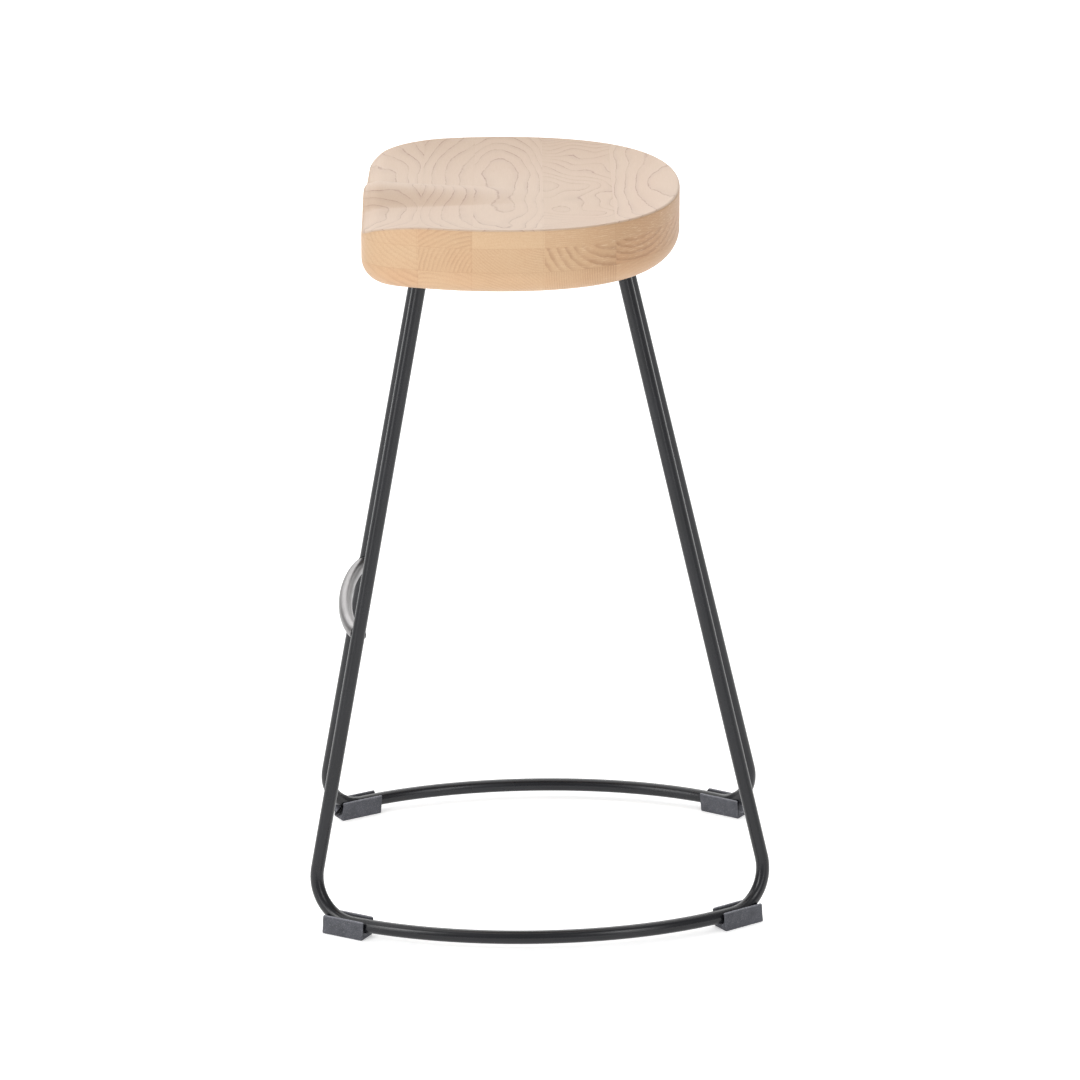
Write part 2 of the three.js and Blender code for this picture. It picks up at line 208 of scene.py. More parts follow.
def sweep(rings, caps=True):
    """Points and faces of a tube through the rings, with a fan over each end."""
    count, size = len(rings), len(rings[0])
    points = np.concatenate(rings)
    faces = rings_to_faces(count, size)
    if caps:
        first, last = rings[0].mean(0), rings[-1].mean(0)
        points = np.vstack([points, first, last])
        a, b = count * size, count * size + 1
        end = (count - 1) * size
        for i in range(size):
            j = (i + 1) % size
            faces.append((a, j, i))
            faces.append((b, end + i, end + j))
    return points, faces


def bezier(p, t):
    p = [np.asarray(q, float) for q in p]
    while len(p) > 1:
        p = [np.multiply.outer(1 - t, a) + np.multiply.outer(t, b) if a.ndim == 1 else
             (1 - t)[:, None] * a + t[:, None] * b for a, b in zip(p, p[1:])]
    return p[0]


# ---------------------------------------------------------------- rods


def direction_along_rail(place):
    front = place == "front"
    splay = FRONT_SPLAY if front else REAR_SPLAY
    return np.array([math.sin(splay), math.cos(splay) if front else -math.cos(splay), 0.0])


def bend(corner, into, away):
    turn = math.acos(float(np.clip(into @ away, -1, 1)))
    reach = BEND_RADIUS * math.tan(turn / 2)
    handle = BEND_RADIUS * math.tan(turn / 4) * 4 / 3
    start, end = corner - into * reach, corner + away * reach
    return [start, start + into * handle, end - away * handle, end]


def on_leg(corner, direction, height):
    return corner + direction * (height - RAIL_HEIGHT)


def side_path():
    """Centreline points of the right side frame, from the front leg's top to the rear leg's."""
    front, rear = direction_along_rail("front"), direction_along_rail("rear")
    first = bend(FRONT_CORNER, -unit(FRONT_LEG), front)
    second = bend(REAR_CORNER, -rear, unit(REAR_LEG))
    rail = [first[3], first[3] + front * RAIL_HANDLE, second[0] + rear * RAIL_HANDLE, second[0]]
    curves = [
        ([on_leg(FRONT_CORNER, FRONT_LEG, LEG_HEIGHT), first[0]], LEG_STEPS),
        (first, BEND_STEPS),
        (rail, RAIL_STEPS),
        (second, BEND_STEPS),
        ([second[3], on_leg(REAR_CORNER, REAR_LEG, LEG_HEIGHT)], LEG_STEPS),
    ]
    parts = [bezier(p, np.linspace(0, 1, n + 1))[:-1] for p, n in curves]
    return np.vstack([*parts, curves[-1][0][-1]])


def tube_rings(path, radius, sides=ROD_SIDES):
    """Rings round a path, carried along it without twist."""
    tangents = np.gradient(path, axis=0)
    tangents /= np.linalg.norm(tangents, axis=1)[:, None]
    side = unit(np.cross(tangents[0], [1.0, 0.0, 0.1]))
    angles = np.linspace(0, 2 * math.pi, sides, endpoint=False)
    rings = []
    for point, tangent in zip(path, tangents):
        side = unit(side - tangent * (side @ tangent))
        other = np.cross(tangent, side)
        rings.append(point + radius * (np.multiply.outer(np.cos(angles), side)
                                       + np.multiply.outer(np.sin(angles), other)))
    return rings


def plate_plane():
    """A point and the normal of the plane that the legs are trimmed to."""
    normal = np.array([0.0, -math.sin(SEAT_TILT), math.cos(SEAT_TILT)])
    return np.array([0.0, 0.0, SEAT_LIFT]) + normal * (PLATE_BASE - GAP), normal


def to_plane(ring, along, point, normal):
    return ring + np.multiply.outer(((point - ring) @ normal) / (along @ normal), along)


def side_rings():
    path = side_path()
    point, normal = plate_plane()
    keep = (path - point) @ normal < -LEG_END_MARGIN
    first, last = np.flatnonzero(keep)[[0, -1]]
    rings = tube_rings(path[first:last + 1], ROD_RADIUS)
    top_front = to_plane(rings[0], unit(FRONT_LEG), point, normal)
    top_rear = to_plane(rings[-1], unit(REAR_LEG), point, normal)
    return [top_front, *rings, top_rear]


def bead(curve, outward, lean, radius, seed):
    """A weld bead: a rippled roll of metal that follows a closed curve."""
    count = BEAD_STEPS
    t = np.linspace(0, 2 * math.pi, count, endpoint=False)
    pick = np.linspace(0, len(curve), count, endpoint=False)
    low = np.floor(pick).astype(int)
    share = (pick - low)[:, None]

    def at(values):
        values = np.asarray(values)
        return values[low % len(values)] * (1 - share) + values[(low + 1) % len(values)] * share

    base, out = at(curve), at(outward)
    ripple = 1
    for share_of_radius, waves, shift in BEAD_RIPPLES:
        ripple = ripple + share_of_radius * np.sin(waves * t + shift * seed)
    r = radius * ripple
    centre = base + (out * BEAD_LIFT + lean * BEAD_LIFT) * r[:, None]
    angles = np.linspace(0, 2 * math.pi, BEAD_SIDES, endpoint=False)
    along = np.roll(centre, -1, 0) - np.roll(centre, 1, 0)
    along /= np.linalg.norm(along, axis=1)[:, None]
    u = out - along * (out * along).sum(1)[:, None]
    u /= np.linalg.norm(u, axis=1)[:, None]
    v = np.cross(along, u)
    rings = [centre[i] + r[i] * (np.multiply.outer(np.cos(angles), u[i])
                                 + np.multiply.outer(np.sin(angles), v[i]))
             for i in range(count)]
    return np.concatenate(rings), rings_to_faces(count, BEAD_SIDES, closed_along=True)


def footrest_rings():
    """The footrest's rings, with both ends coped to fit round the legs."""
    end = on_leg(FRONT_CORNER, FRONT_LEG, FOOTREST_HEIGHT)
    shoulder = end[0] * FOOTREST_SHOULDER
    forward = end[1] - FOOTREST_BOW * 4 / 3
    path = bezier([
        end,
        [shoulder, forward, FOOTREST_HEIGHT],
        [-shoulder, forward, FOOTREST_HEIGHT],
        [-end[0], end[1], FOOTREST_HEIGHT],
    ], np.linspace(0, 1, FOOTREST_STEPS + 1))
    rings = tube_rings(path, ROD_RADIUS)
    clearance = ROD_RADIUS + GAP
    out = []
    for ring, centre in zip(rings, path):
        to_legs = [np.linalg.norm(centre - leg_point) for leg_point in (end, path[-1])]
        if min(to_legs) > FOOTREST_END_MARGIN:
            out.append(ring)

    def end_rings(ring, leg_point, next_point, side):
        middle = ring.mean(0)
        return [cope(middle + (ring - middle) * share, leg_point, next_point, side, clearance)
                for share in COPE_SHARES]

    first = end_rings(out[0], path[0], path[1], 1)
    last = end_rings(out[-1], path[-1], path[-2], -1)
    return [*first, *out, *reversed(last)]


def cope(ring, leg_point, next_point, side, clearance):
    """Moves a ring along the rod's own direction until it stands clearance from the leg's axis."""
    axis = unit(FRONT_LEG * np.array([side, 1.0, 1.0]))
    step = unit(leg_point - next_point)
    rel = ring - leg_point
    rel_flat = rel - np.multiply.outer(rel @ axis, axis)
    step_flat = step - axis * (step @ axis)
    a = step_flat @ step_flat
    b = 2 * rel_flat @ step_flat
    c = (rel_flat ** 2).sum(1) - clearance ** 2
    distance = (-b - np.sqrt(np.maximum(b * b - 4 * a * c, 0))) / (2 * a)
    return ring + np.multiply.outer(distance, step)


# ---------------------------------------------------------------- feet


def foot_section():
    """The U section as (across, up) points, anticlockwise from the sole."""
    half = FOOT_WIDTH / 2
    wall = half - FOOT_GROOVE_RADIUS
    shoulder = FOOT_HEIGHT - FOOT_EDGE_RADIUS

    def wall_top(centre):
        a = np.linspace(0, math.pi, 11)
        return np.stack([centre + wall / 2 * np.cos(a),
                         shoulder + FOOT_EDGE_RADIUS * np.sin(a)], 1)

    groove = np.linspace(0, -math.pi, 25)
    chamfer = FOOT_CHAMFER
    return np.vstack([
        [[chamfer - half, 0]],
        np.stack([np.linspace(chamfer - half, half - chamfer, 9)[1:-1], np.zeros(7)], 1),
        [[half - chamfer, 0], [half - chamfer * 0.3, chamfer * 0.3], [half, chamfer]],
        np.stack([np.full(6, half), np.linspace(chamfer, shoulder, 8)[1:-1]], 1),
        wall_top(half - wall / 2),
        np.stack([FOOT_GROOVE_RADIUS * np.cos(groove),
                  RAIL_HEIGHT + FOOT_GROOVE_RADIUS * np.sin(groove)], 1),
        wall_top(wall / 2 - half),
        np.stack([np.full(6, -half), np.linspace(shoulder, chamfer, 8)[1:-1]], 1),
        [[-half, chamfer], [chamfer * 0.3 - half, chamfer * 0.3]],
    ])


def foot(place, path):
    section = foot_section()
    tangent = np.roll(section, -1, 0) - np.roll(section, 1, 0)
    tangent /= np.linalg.norm(tangent, axis=1)[:, None]
    inward = np.stack([-tangent[:, 1], tangent[:, 0]], 1)
    corner = FRONT_CORNER if place == "front" else REAR_CORNER
    away = direction_along_rail(place)
    centre = (corner + away * FOOT_REACH[place]) * np.array([1.0, 1.0, 0.0])
    across = np.cross([0.0, 0.0, 1.0], away)
    half, r = FOOT_LENGTH / 2, FOOT_END_ROUND
    a = np.linspace(0, math.pi / 2, FOOT_END_STEPS + 1)
    ends = [(half - r + r * math.sin(x), r * (1 - math.cos(x))) for x in a]
    stations = [(-s, inset) for s, inset in reversed(ends)]
    stations += [(s, 0.0) for s in np.linspace(-half + r, half - r, FOOT_STEPS + 1)[1:-1]]
    stations += ends
    rings = []
    for s, inset in stations:
        q = section + inward * inset
        s = s + FOOT_LEAN * q[:, 1] / FOOT_HEIGHT
        ring = centre + np.multiply.outer(s, away) + np.multiply.outer(q[:, 0], across)
        ring[:, 2] = q[:, 1]
        rings.append(clear_of_rod(ring, path))
    count, size = len(rings), len(section)
    faces = rings_to_faces(count, size)
    faces.append(tuple(range(size - 1, -1, -1)))
    faces.append(tuple((count - 1) * size + i for i in range(size)))
    return np.concatenate(rings), faces


def clear_of_rod(ring, path):
    """Pushes points out of the rod's way, as the groove opens round the bend."""
    steps = np.linalg.norm(ring[:, None] - path[None], axis=2)
    nearest = path[steps.argmin(1)]
    offset = ring - nearest
    distance = np.linalg.norm(offset, axis=1)[:, None]
    scale = np.maximum(distance, ROD_RADIUS + GAP) / np.maximum(distance, 1e-6)
    return nearest + offset * scale


# ---------------------------------------------------------------- seat


def seat_outline():
    """The outline seen from above, clockwise from the rear, and the inward directions."""
    w, front = SEAT_HALF_WIDTH, SEAT_FRONT_Y
    t = np.linspace(0, 1, 400)
    half = np.vstack([
        bezier([[0, SEAT_REAR_Y], [w * 0.71, SEAT_REAR_Y],
                [w, SEAT_WIDEST_Y + 101], [w, SEAT_WIDEST_Y]], t),
        bezier([[w, SEAT_WIDEST_Y], [w, SEAT_WIDEST_Y - 45], [w - 9, -98], [w - 21, -132]], t)[1:],
        bezier([[w - 21, -132], [w - 30, -155], [168, front + 4], [146, front + 2]], t)[1:],
        bezier([[146, front + 2], [60, front], [0, front]], t)[1:],
    ])
    length = np.concatenate([[0], np.cumsum(np.linalg.norm(np.diff(half, axis=0), axis=1))])
    even = np.linspace(0, length[-1], SEAT_SECTIONS // 2 + 1)
    right = np.stack([np.interp(even, length, half[:, k]) for k in (0, 1)], 1)
    left = right[1:-1][::-1] * np.array([-1.0, 1.0])
    points = np.vstack([right, left])
    along = np.roll(points, -1, 0) - np.roll(points, 1, 0)
    along /= np.linalg.norm(along, axis=1)[:, None]
    return points, np.stack([along[:, 1], -along[:, 0]], 1)


def seat_top(x, y):
    """Height of the carved top above the underside."""
    ahead = np.maximum(0, SEAT_WIDEST_Y - y)
    behind = np.maximum(0, y - SEAT_WIDEST_Y) / (SEAT_REAR_Y - SEAT_WIDEST_Y)
    across = np.abs(x) / (SEAT_HALF_WIDTH - SIDE_TAPER * ahead ** 2)
    bowl = (across ** OVAL_POWER + behind ** OVAL_POWER) ** (DISH_POWER / OVAL_POWER)
    corner_drop = CORNER_DROP * np.maximum(0, CORNER_DROP_Y - y) ** 2
    edge_drop = EDGE_DROP * np.maximum(0, EDGE_DROP_Y - y) ** 2
    fade = np.maximum(0, (POMMEL_END_Y - y) / (POMMEL_END_Y - SEAT_FRONT_Y))
    flank = np.minimum(1, np.abs(x) / (POMMEL_HALF_WIDTH + POMMEL_SPREAD * fade))
    swell = 0.5 + 0.5 * np.cos(np.pi * flank)
    softened = (1 + POMMEL_FOOT) * swell / (swell + POMMEL_FOOT)
    pommel = POMMEL_RISE * fade ** POMMEL_FADE * swell ** POMMEL_POWER * softened
    return DISH_FLOOR + (DISH_RISE - corner_drop) * bowl + pommel - edge_drop


def seat_mesh():
    outline, inward = seat_outline()
    s = np.clip((-outline[:, 1] + EDGE_DROP_Y) / (-SEAT_FRONT_Y + EDGE_DROP_Y), 0, 1)
    rim_radius = (SEAT_RIM_RADIUS + FRONT_ROUNDING * s * s * (3 - 2 * s))[:, None]
    rim = outline + inward * rim_radius
    rim_top = seat_top(rim[:, 0], rim[:, 1])
    rings = []

    def add(flat, z):
        rings.append(np.column_stack([flat, np.broadcast_to(z, len(flat))]))

    for k in range(1, TOP_RINGS + 1):
        flat = SEAT_MIDDLE + (rim - SEAT_MIDDLE) * (k / TOP_RINGS) ** TOP_RING_POWER
        add(flat, seat_top(flat[:, 0], flat[:, 1]))
    for angle in np.linspace(0, math.pi / 2, RIM_STEPS + 1)[1:]:
        drop = (1 - math.cos(angle)) * rim_radius[:, 0]
        add(outline + inward * rim_radius * (1 - math.sin(angle)), rim_top - drop)
    wall_top = rim_top - rim_radius[:, 0]
    for share in np.linspace(0, 1, WALL_STEPS + 1)[1:-1]:
        add(outline, wall_top + (SEAT_LOWER_RADIUS - wall_top) * share)
    for angle in np.linspace(0, math.pi / 2, LOWER_ROUND_STEPS + 1):
        r = SEAT_LOWER_RADIUS
        add(outline + inward * r * (1 - math.cos(angle)), r * (1 - math.sin(angle)))
    under = outline + inward * SEAT_LOWER_RADIUS
    for share in UNDERSIDE_SHARES:
        add(SEAT_MIDDLE + (under - SEAT_MIDDLE) * share, 0.0)
    size = SEAT_SECTIONS
    points = np.concatenate(rings)
    faces = rings_to_faces(len(rings), size)
    top, bottom = len(points), len(points) + 1
    points = np.vstack([
        points,
        [*SEAT_MIDDLE, float(seat_top(*SEAT_MIDDLE))],
        [*SEAT_MIDDLE, 0.0],
    ])
    end = (len(rings) - 1) * size
    for i in range(size):
        j = (i + 1) % size
        faces.append((top, j, i))
        faces.append((bottom, end + i, end + j))
    return seat_frame(points), faces


def screw_places():
    for end, sy in (("front", -1), ("rear", 1)):
        for side, sx in (("right", 1), ("left", -1)):
            yield f"{end}_{side}", sx * SCREW_OFFSET[0], PLATE_CENTRE_Y + sy * SCREW_OFFSET[1]


def turned(profile, x, y, z, sides=TURNED_SIDES):
    """The rings of a turned body, one for each (radius, height) point of its profile."""
    angles = np.linspace(0, 2 * math.pi, sides, endpoint=False)
    return [np.column_stack([x + r * np.cos(angles), y + r * np.sin(angles), np.full(sides, z + h)])
            for r, h in profile]


def screw_rings(x, y):
    """A button-head screw, from the bottom of its hexagon socket to the shank's end."""
    profile = [(HEX_RADIUS, HEX_DEPTH - HEAD_HEIGHT), (HEX_RADIUS, -HEAD_HEIGHT)]
    profile += [(HEAD_RADIUS * across, -HEAD_HEIGHT * down) for across, down in HEAD_DOME]
    profile += [(HEAD_RADIUS, -HEAD_EDGE), (HEAD_RADIUS * HEAD_BASE_SHARE, 0.0),
                (SHANK_RADIUS, 0.0), (SHANK_RADIUS, SHANK_LENGTH - SHANK_POINT[1]),
                (SHANK_RADIUS - SHANK_POINT[0], SHANK_LENGTH)]
    rings = turned(profile, x, y, WASHER_BASE - GAP)
    angles = np.linspace(0, 2 * math.pi, TURNED_SIDES, endpoint=False)
    hexagon = HEX_RADIUS * math.cos(math.pi / 6) / np.cos((angles % (math.pi / 3)) - math.pi / 6)
    for ring in rings[:2]:
        ring[:, 0] = x + hexagon * np.cos(angles)
        ring[:, 1] = y + hexagon * np.sin(angles)
    return [seat_frame(ring) for ring in rings]


def washer_rings(x, y):
    lip, inner, outer, top = WASHER_LIP, SCREW_HOLE_RADIUS, WASHER_RADIUS, WASHER_THICKNESS
    section = [(inner, lip), (inner + lip, 0.0), (outer - lip, 0.0), (outer, lip),
               (outer, top - lip), (outer - lip, top), (inner + lip, top), (inner, top - lip)]
    return [seat_frame(ring) for ring in turned(section, x, y, WASHER_BASE)]


# ---------------------------------------------------------------- materials


class Shader:
    """Builds one material's node tree."""

    def __init__(self, name):
        self.material = bpy.data.materials.new(name)
        self.material.use_nodes = True
        self.tree = self.material.node_tree
        self.bsdf = self.tree.nodes["Principled BSDF"]

    def node(self, kind, inputs=(), output=0, **settings):
        node = self.tree.nodes.new(kind)
        for key, value in settings.items():
            setattr(node, key, value)
        pairs = inputs.items() if isinstance(inputs, dict) else enumerate(inputs)
        for key, value in pairs:
            self.feed(node.inputs[key], value)
        return node.outputs[output]

    def feed(self, socket, value):
        if isinstance(value, bpy.types.NodeSocket):
            self.tree.links.new(value, socket)
        elif value is not None:
            socket.default_value = value

    def math(self, operation, *values, clamp=False):
        return self.node("ShaderNodeMath", values, operation=operation, use_clamp=clamp)

    def vector(self, operation, *values):
        return self.node("ShaderNodeVectorMath", values, operation=operation)

    def mix(self, factor, a, b, blend="MIX"):
        node = self.tree.nodes.new("ShaderNodeMix")
        node.data_type = "RGBA"
        node.blend_type = blend
        node.clamp_factor = True
        self.feed(node.inputs[0], factor)
        self.feed(node.inputs[6], a)
        self.feed(node.inputs[7], b)
        return node.outputs[2]

    def noise(self, vector, scale, detail=2.0, roughness=0.5, output=0):
        return self.node("ShaderNodeTexNoise", {"Vector": vector, "Scale": scale, "Detail": detail,
                                                "Roughness": roughness}, output=output)

    def steps(self, value, low, high, stops):
        """A stepped colour. The stops are (where the colour starts, colour), from low to high."""
        node = self.tree.nodes.new("ShaderNodeValToRGB")
        ramp = node.color_ramp
        ramp.interpolation = "CONSTANT"
        while len(ramp.elements) < len(stops):
            ramp.elements.new(1.0)
        for element, (start, colour) in zip(ramp.elements, stops):
            element.position = max(0.0, (start - low) / (high - low))
            element.color = (*colour, 1.0)
        self.feed(node.inputs[0], self.map(value, low, high, 0.0, 1.0))
        return node.outputs[0]

    def map(self, value, a, b, c, d, kind="LINEAR"):
        return self.node("ShaderNodeMapRange", {"Value": value, "From Min": a, "From Max": b,
                                                "To Min": c, "To Max": d}, interpolation_type=kind)

    def split(self, vector):
        node = self.tree.nodes.new("ShaderNodeSeparateXYZ")
        self.feed(node.inputs[0], vector)
        return node.outputs

    def millimetres(self):
        coords = self.node("ShaderNodeTexCoord", output=3)
        return self.vector("MULTIPLY", coords, (1000.0, 1000.0, 1000.0))

    def bump(self, height, strength, distance):
        return self.node("ShaderNodeBump", {"Height": height, "Strength": strength,
                                            "Distance": distance})

    def set(self, **inputs):
        names = {"base": "Base Color", "rough": "Roughness", "normal": "Normal",
                 "metal": "Metallic",
                 "coat": "Coat Weight", "coat_rough": "Coat Roughness",
                 "specular": "Specular IOR Level"}
        for key, value in inputs.items():
            self.feed(self.bsdf.inputs[names[key]], value)
        return self.material


def rgb(r, g, b):
    """An sRGB colour, given 0 to 255, as linear."""
    return tuple(((c / 255 + 0.055) / 1.055) ** 2.4 if c > 10 else c / 255 / 12.92
                 for c in (r, g, b))


def rgba(r, g, b):
    return (*rgb(r, g, b), 1.0)


# Each board: where it starts from front to rear, where its pith lies (y, z) and its ring spacing,
# then how strong its rings are, how dark and how red its wood is. Millimetres, in the seat's frame.
TOP_BOARDS = [
    (-200, (-150, 4, 5.2), (0.80, 0.45, 0.50)),
    (-112, (-31, -27, 7.2), (0.70, 0.50, 0.50)),
    (-59, (-33, -8, 5.0), (0.85, 0.42, 0.55)),
    (11, (47, -700, 1.55), (0.75, 0.66, 0.60)),
    (82, (176, -40, 6.8), (0.85, 0.50, 0.70)),
]
WALL_BOARDS = [
    [  # the lowest layer
        (-200, (-92, 92, 6.2), (0.45, 0.52, 0.85)),
        (-112, (-98, -45, 4.6), (0.35, 0.50, 0.50)),
        (-59, (-75, -70, 3.1), (0.35, 0.52, 0.35)),
        (11, (630, 12, 2.4), (0.80, 0.58, 0.50)),
        (82, (120, -60, 4.0), (0.20, 0.50, 0.75)),
    ],
    [  # the middle layer
        (-200, (-92, 92, 4.9), (0.30, 0.46, 0.45)),
        (-112, (-22, 12, 4.2), (0.55, 0.55, 0.50)),
        (-59, (22, 112, 2.7), (0.35, 0.52, 0.35)),
        (11, (86, 76, 8.0), (1.00, 0.60, 0.45)),
        (82, (104, 66, 6.5), (1.00, 0.80, 1.00)),
    ],
    [  # the top layer
        (-200, (-92, 92, 4.9), (0.30, 0.46, 0.45)),
        (-112, (-48, -18, 4.4), (0.70, 0.56, 0.50)),
        (-59, (-20, -320, 3.2), (0.10, 0.40, 0.35)),
        (11, (40, -640, 2.1), (0.30, 0.58, 0.35)),
        (82, (60, -90, 2.8), (0.30, 0.60, 0.50)),
    ],
]
LAYER_HEIGHTS = (23.5, 47.5)
PITH_RANGE = 900.0
SPACING_RANGE = 10.0
BOARD_RANGE = 200.0
GLUE_WIDTH = 0.45

TOP_LIGHT = rgba(193, 170, 149)
TOP_DARK = rgba(180, 154, 129)
TOP_RED = rgba(182, 148, 124)
TOP_FIBRE = rgba(168, 139, 115)
TOP_RING = rgba(112, 66, 46)
WALL_LIGHT = rgba(208, 181, 147)
WALL_DARK = rgba(176, 141, 105)
WALL_RED = rgba(192, 144, 106)
WALL_SPECKLE = rgba(170, 128, 90)
WALL_RING = rgba(136, 92, 58)
WALL_FLECK = rgba(222, 198, 168)
GLUE = rgba(150, 104, 66)


def wood_material():
    s = Shader("laminated_wood")
    coords = s.node("ShaderNodeTexCoord", output=3)
    origin = tuple((CENTRING + [0, 0, SEAT_LIFT]) * 0.001)
    local = s.node("ShaderNodeMapping", {"Vector": coords, "Location": origin,
                                         "Rotation": (SEAT_TILT, 0.0, 0.0)}, vector_type="TEXTURE")
    p = s.vector("MULTIPLY", local, (1000.0, 1000.0, 1000.0))
    _x, y, z = s.split(p)
    normal = s.node("ShaderNodeNewGeometry", output=1)
    _nx, _ny, nz = s.split(normal)

    # slow wander of the rings along and across the boards
    stretched = s.vector("MULTIPLY", p, (0.009, 0.014, 0.014))
    wander = s.vector("SUBTRACT", s.noise(stretched, 1.0, 1.0, output=1), (0.5, 0.5, 0.5))
    _wx, wy, wz = s.split(wander)

    def board_values(value, boards):
        """The boards' pith places and ring spacings, scaled to 0 to 1, and their looks."""
        pith = [(start, ((cy + PITH_RANGE) / (2 * PITH_RANGE), (cz + PITH_RANGE) / (2 * PITH_RANGE),
                         spacing / SPACING_RANGE)) for start, (cy, cz, spacing), _ in boards]
        look = [(start, colour) for start, _, colour in boards]
        return [s.steps(value, -BOARD_RANGE, BOARD_RANGE, stops) for stops in (pith, look)]

    def rings(pith, wander_mm):
        """How many rings a point lies from its board's pith."""
        cy, cz, spacing = s.split(pith)
        dy = s.math("SUBTRACT", y, s.map(cy, 0, 1, -PITH_RANGE, PITH_RANGE))
        dz = s.math("SUBTRACT", z, s.map(cz, 0, 1, -PITH_RANGE, PITH_RANGE))
        dy = s.math("MULTIPLY_ADD", wy, wander_mm, dy)
        dz = s.math("MULTIPLY_ADD", wz, wander_mm, dz)
        r = s.math("SQRT", s.math("ADD", s.math("MULTIPLY", dy, dy), s.math("MULTIPLY", dz, dz)))
        return s.math("DIVIDE", r, s.math("MULTIPLY", spacing, SPACING_RANGE))

    # top: thin late-wood lines, which contour the carving
    top_pith, top_look = board_values(y, TOP_BOARDS)
    jitter = s.noise(s.vector("MULTIPLY", p, (0.05, 0.12, 0.12)), 1.0, 3.0, 0.6)
    top_phase = s.math("MULTIPLY_ADD", jitter, 0.30, rings(top_pith, 15.0))
    top_f = s.math("FRACT", top_phase)
    from_line = s.math("ABSOLUTE", s.math("SUBTRACT", top_f, 0.5))
    line = s.map(from_line, 0.0, 0.070, 1.0, 0.0, "SMOOTHSTEP")
    shade = s.map(top_f, 0.0, 0.5, 0.0, 0.16, "SMOOTHSTEP")
    shade = s.math("MULTIPLY", shade, s.map(top_f, 0.5, 0.56, 1.0, 0.0))
    vary = s.noise(s.vector("MULTIPLY", p, (0.22, 0.22, 0.22)), 1.0, 4.0, 0.7)
    vary = s.map(vary, 0.35, 0.65, 0.25, 1.0)
    fade = s.noise(s.vector("MULTIPLY", p, (0.02, 0.03, 0.03)), 1.0, 2.0)
    fade = s.map(fade, 0.35, 0.6, 0.35, 1.0)
    top_contrast, top_dark, top_red = s.split(top_look)
    top_line = s.math("MAXIMUM", s.math("MULTIPLY", line, vary), shade)
    top_line = s.math("MULTIPLY", top_line, top_contrast)
    top_line = s.math("MULTIPLY", top_line, fade)

    # walls: end grain, with broad late-wood bands
    layers = [board_values(y, boards) for boards in WALL_BOARDS]
    layer_z = s.math("MULTIPLY_ADD", wz, 0.6, z)
    above = [s.math("GREATER_THAN", layer_z, height) for height in LAYER_HEIGHTS]
    wall_pith = s.mix(above[1], s.mix(above[0], layers[0][0], layers[1][0]), layers[2][0])
    wall_look = s.mix(above[1], s.mix(above[0], layers[0][1], layers[1][1]), layers[2][1])
    wall_phase = s.math("MULTIPLY_ADD", jitter, 0.45, rings(wall_pith, 11.0))
    wall_f = s.math("FRACT", wall_phase)
    band = s.map(wall_f, 0.25, 0.85, 0.0, 1.0, "SMOOTHSTEP")
    band = s.math("MULTIPLY", band, s.map(wall_f, 0.86, 0.98, 1.0, 0.0))
    wall_contrast, wall_dark, wall_red = s.split(wall_look)
    wall_line = s.math("MULTIPLY", band, s.map(vary, 0.25, 1.0, 0.6, 1.0))
    wall_line = s.math("MULTIPLY", wall_line, wall_contrast)
    wall_line = s.math("MULTIPLY", wall_line, fade)

    # fibres and pores
    fibre = s.noise(s.vector("MULTIPLY", p, (0.035, 0.9, 0.9)), 1.0, 3.0, 0.6)
    speckle = s.noise(s.vector("MULTIPLY", p, (0.9, 0.9, 0.9)), 1.0, 3.0, 0.6)
    patches = s.noise(s.vector("MULTIPLY", p, (0.006, 0.02, 0.03)), 1.0, 2.0)

    top_colour = s.mix(top_dark, TOP_LIGHT, TOP_DARK)
    reddened = s.math("MULTIPLY", top_red, s.map(patches, 0.35, 0.7, 0.0, 0.5))
    top_colour = s.mix(reddened, top_colour, TOP_RED)
    top_colour = s.mix(s.map(fibre, 0.35, 0.75, 0.0, 0.22), top_colour, TOP_FIBRE)
    top_colour = s.mix(top_line, top_colour, TOP_RING)

    # painted shade: the wall's wood is darkened towards the rear, from y 30 to 150 mm, standing in
    # for the weaker light on that side
    wall_dark = s.math("ADD", wall_dark, s.map(y, 30.0, 150.0, 0.0, 0.55))
    wall_colour = s.mix(wall_dark, WALL_LIGHT, WALL_DARK)
    reddened = s.math("MULTIPLY", wall_red, s.map(patches, 0.35, 0.7, 0.1, 0.5))
    wall_colour = s.mix(reddened, wall_colour, WALL_RED)
    wall_colour = s.mix(s.map(speckle, 0.35, 0.7, 0.0, 0.34), wall_colour, WALL_SPECKLE)
    wall_colour = s.mix(s.math("MULTIPLY", wall_line, 0.60), wall_colour, WALL_RING)

    # pale flecks, where the fibres run out of the wall
    streak = s.noise(s.vector("MULTIPLY", p, (0.12, 0.09, 1.7)), 1.0, 3.0, 0.6)
    streak = s.math("MULTIPLY", s.map(streak, 0.56, 0.68, 0.0, 1.0),
                    s.map(y, 5.0, 60.0, 0.12, 0.65))
    streak = s.math("MULTIPLY", streak, s.map(z, 18.0, 34.0, 0.25, 1.0))
    wall_colour = s.mix(s.math("MULTIPLY", streak, 0.7), wall_colour, WALL_FLECK)

    # glue lines between the boards and the layers
    def seam(value, place):
        distance = s.math("ABSOLUTE", s.math("SUBTRACT", value, place))
        return s.map(distance, GLUE_WIDTH * 0.4, GLUE_WIDTH, 1.0, 0.0)

    starts = [start for start, _, _ in WALL_BOARDS[0][1:]]
    seams = seam(layer_z, LAYER_HEIGHTS[0])
    for value, place in [(layer_z, LAYER_HEIGHTS[1]), *((y, start) for start in starts)]:
        seams = s.math("MAXIMUM", seams, seam(value, place))

